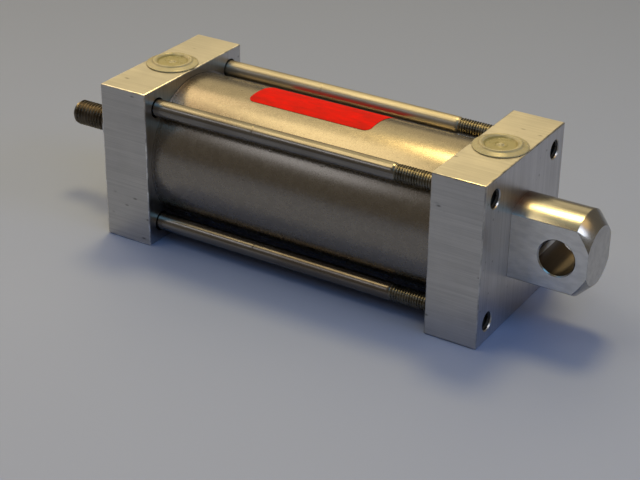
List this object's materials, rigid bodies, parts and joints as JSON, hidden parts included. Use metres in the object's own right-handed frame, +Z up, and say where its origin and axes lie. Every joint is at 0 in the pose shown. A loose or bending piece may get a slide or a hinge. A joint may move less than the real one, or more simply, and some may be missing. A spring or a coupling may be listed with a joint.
{
  "type": "pneumatic cylinder",
  "caption": "Square-head pneumatic cylinder with tie bolts along a round barrel, a threaded piston rod in front and a fixed pivot eye behind.",
  "frame": {"origin": "centre of the bounding box in plan, on the plane that the square heads stand on", "axes": "X along the cylinder's axis, the piston rod leaving towards -X and the pivot eye at +X; +Z up, out of the air ports"},
  "size_m": [0.2726, 0.075, 0.077],
  "materials": {
    "milled_aluminium": "sawn and milled, fine lines along the cylinder's length",
    "tube_aluminium": "satin drawn tube, slightly mottled",
    "bright_steel": "bright drawn steel",
    "black_steel": "blackened steel",
    "polished_eye": "turned and milled, nearly polished",
    "chromed_rod": "ground and hard chromed, with a dark rolled thread on the stud",
    "seal_rubber": "nitrile rubber",
    "guide_plastic": "brown bearing plastic",
    "bronze_bush": "bored bronze",
    "port_plug_plastic": "soft yellowish translucent plastic",
    "red_label": "plain red label with rounded corners"
  },
  "bodies": {
    "barrel": {"front_head": "milled_aluminium", "rear_head": "milled_aluminium", "barrel_tube": "tube_aluminium", "tie_bolt_1": "bright_steel", "tie_bolt_2": "bright_steel", "tie_bolt_3": "bright_steel", "tie_bolt_4": "bright_steel", "tie_bolt_washer_1": "bright_steel", "tie_bolt_washer_2": "bright_steel", "tie_bolt_washer_3": "bright_steel", "tie_bolt_washer_4": "bright_steel", "rod_gland": "milled_aluminium", "rod_bush": "bronze_bush", "rod_seal": "seal_rubber", "rod_wiper": "seal_rubber", "gland_o_ring": "seal_rubber", "tube_seal_front": "seal_rubber", "tube_seal_rear": "seal_rubber", "bumper_front": "seal_rubber", "bumper_rear": "seal_rubber", "rear_eye": "polished_eye", "eye_screw": "black_steel", "eye_dowel_pin": "bright_steel", "label": "red_label"},
    "piston_seals": {"piston_seal_front": "seal_rubber", "piston_seal_rear": "seal_rubber", "piston_guide_ring": "guide_plastic"},
    "rod": {"piston_rod": "chromed_rod", "piston": "milled_aluminium", "piston_o_ring": "seal_rubber", "piston_washer": "bright_steel", "piston_nut": "bright_steel"},
    "front_plug": {"front_port_plug": "port_plug_plastic"},
    "rear_plug": {"rear_port_plug": "port_plug_plastic"}
  },
  "joints": [
    {"name": "rod_slide", "type": "slide", "parent": "barrel", "child": "piston_seals", "axis": [-1, 0, 0], "range_m": [0, 0.1]},
    {"name": "rod_turn", "type": "hinge", "parent": "piston_seals", "child": "rod", "pos_m": [-0.1, 0, 0.0375], "axis": [-1, 0, 0], "continuous": true},
    {"name": "front_plug_pull", "type": "slide", "parent": "barrel", "child": "front_plug", "axis": [0, 0, 1], "range_m": [0, 0.02]},
    {"name": "rear_plug_pull", "type": "slide", "parent": "barrel", "child": "rear_plug", "axis": [0, 0, 1], "range_m": [0, 0.02]}
  ]
}
